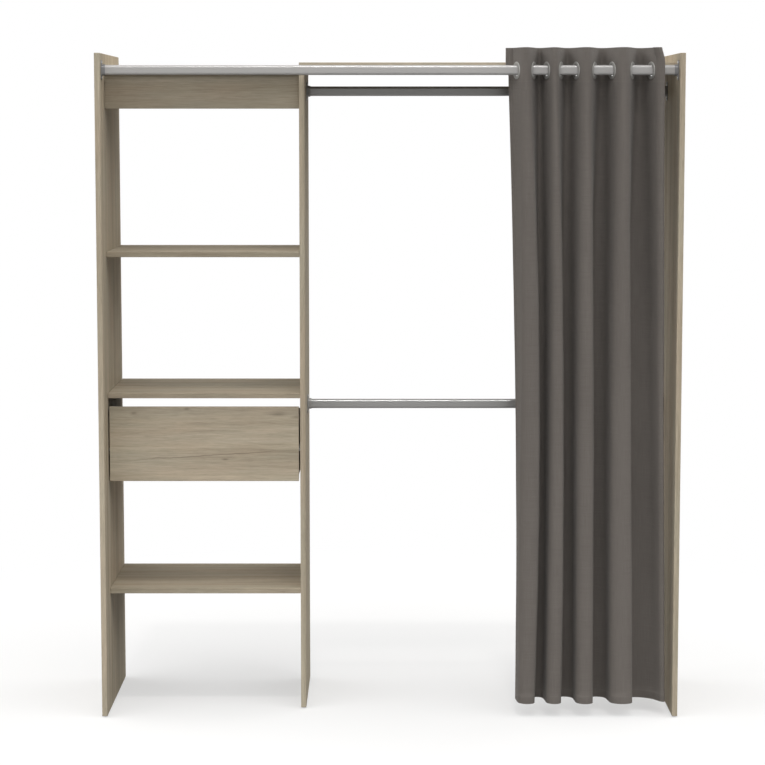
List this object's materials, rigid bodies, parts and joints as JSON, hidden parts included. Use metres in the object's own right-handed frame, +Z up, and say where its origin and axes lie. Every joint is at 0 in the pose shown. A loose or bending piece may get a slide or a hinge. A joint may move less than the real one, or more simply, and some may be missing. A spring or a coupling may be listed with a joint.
{
  "type": "open-front wardrobe",
  "caption": "Free-standing open wardrobe: shelf column with a drawer beside a hanging bay with clothes bars, and an eyelet curtain that slides on an oval rail along the front.",
  "frame": {"origin": "on the floor, under the middle of the wardrobe's width and depth", "axes": "X along the front from left to right, Y from front to back, Z up"},
  "size_m": [1.771, 0.538, 2.0464],
  "materials": {
    "oak_laminate": "matte light grey-beige oak laminate",
    "hardboard": "plain thin hardboard",
    "runner_plastic": "white plastic",
    "tube_metal": "satin silver grey",
    "socket_metal": "satin grey",
    "glide_plastic": "dark grey plastic",
    "curtain_cloth": "matte taupe woven cloth",
    "eyelet_metal": "satin nickel"
  },
  "bodies": {
    "frame": {"side_panel_left": "oak_laminate", "side_panel_right": "oak_laminate", "middle_panel": "oak_laminate", "top_board": "oak_laminate", "column_top_shelf": "oak_laminate", "column_fascia": "oak_laminate", "shelf_upper": "oak_laminate", "shelf_middle": "oak_laminate", "shelf_lower": "oak_laminate", "drawer_runner_left": "runner_plastic", "drawer_runner_right": "runner_plastic", "curtain_rail": "tube_metal", "curtain_rail_socket_left": "socket_metal", "curtain_rail_socket_right": "socket_metal", "clothes_bar_upper": "tube_metal", "clothes_bar_upper_socket_left": "socket_metal", "clothes_bar_upper_socket_right": "socket_metal", "clothes_bar_lower": "tube_metal", "clothes_bar_lower_socket_left": "socket_metal", "clothes_bar_lower_socket_right": "socket_metal", "glide_side_left_front": "glide_plastic", "glide_side_left_back": "glide_plastic", "glide_middle_front": "glide_plastic", "glide_middle_back": "glide_plastic", "glide_side_right_front": "glide_plastic", "glide_side_right_back": "glide_plastic", "curtain": "curtain_cloth"},
    "drawer": {"drawer_front": "oak_laminate", "drawer_side_left": "oak_laminate", "drawer_side_right": "oak_laminate", "drawer_back": "oak_laminate", "drawer_bottom": "hardboard"},
    "eyelet_1": {"eyelet_01": "eyelet_metal"},
    "eyelet_2": {"eyelet_02": "eyelet_metal"},
    "eyelet_3": {"eyelet_03": "eyelet_metal"},
    "eyelet_4": {"eyelet_04": "eyelet_metal"},
    "eyelet_5": {"eyelet_05": "eyelet_metal"},
    "eyelet_6": {"eyelet_06": "eyelet_metal"},
    "eyelet_7": {"eyelet_07": "eyelet_metal"},
    "eyelet_8": {"eyelet_08": "eyelet_metal"},
    "eyelet_9": {"eyelet_09": "eyelet_metal"},
    "eyelet_10": {"eyelet_10": "eyelet_metal"}
  },
  "joints": [
    {"name": "drawer_slide", "type": "slide", "parent": "frame", "child": "drawer", "axis": [0, -1, 0], "range_m": [0, 0.28]},
    {"name": "curtain_draw", "type": "slide", "parent": "frame", "child": "eyelet_1", "axis": [-1, 0, 0], "range_m": [0, 1.206], "deforming": ["curtain"]},
    {"name": "eyelet_2_lag", "type": "slide", "parent": "eyelet_1", "child": "eyelet_2", "axis": [1, 0, 0], "range_m": [0, 0.134]},
    {"name": "eyelet_3_lag", "type": "slide", "parent": "eyelet_2", "child": "eyelet_3", "axis": [1, 0, 0], "range_m": [0, 0.134]},
    {"name": "eyelet_4_lag", "type": "slide", "parent": "eyelet_3", "child": "eyelet_4", "axis": [1, 0, 0], "range_m": [0, 0.134]},
    {"name": "eyelet_5_lag", "type": "slide", "parent": "eyelet_4", "child": "eyelet_5", "axis": [1, 0, 0], "range_m": [0, 0.134]},
    {"name": "eyelet_6_lag", "type": "slide", "parent": "eyelet_5", "child": "eyelet_6", "axis": [1, 0, 0], "range_m": [0, 0.134]},
    {"name": "eyelet_7_lag", "type": "slide", "parent": "eyelet_6", "child": "eyelet_7", "axis": [1, 0, 0], "range_m": [0, 0.134]},
    {"name": "eyelet_8_lag", "type": "slide", "parent": "eyelet_7", "child": "eyelet_8", "axis": [1, 0, 0], "range_m": [0, 0.134]},
    {"name": "eyelet_9_lag", "type": "slide", "parent": "eyelet_8", "child": "eyelet_9", "axis": [1, 0, 0], "range_m": [0, 0.134]},
    {"name": "eyelet_10_lag", "type": "slide", "parent": "eyelet_9", "child": "eyelet_10", "axis": [1, 0, 0], "range_m": [0, 0.134]}
  ],
  "couplings": [
    {"joint": "eyelet_2_lag", "follows": "curtain_draw", "ratio": 0.11111},
    {"joint": "eyelet_3_lag", "follows": "curtain_draw", "ratio": 0.11111},
    {"joint": "eyelet_4_lag", "follows": "curtain_draw", "ratio": 0.11111},
    {"joint": "eyelet_5_lag", "follows": "curtain_draw", "ratio": 0.11111},
    {"joint": "eyelet_6_lag", "follows": "curtain_draw", "ratio": 0.11111},
    {"joint": "eyelet_7_lag", "follows": "curtain_draw", "ratio": 0.11111},
    {"joint": "eyelet_8_lag", "follows": "curtain_draw", "ratio": 0.11111},
    {"joint": "eyelet_9_lag", "follows": "curtain_draw", "ratio": 0.11111},
    {"joint": "eyelet_10_lag", "follows": "curtain_draw", "ratio": 0.11111}
  ]
}
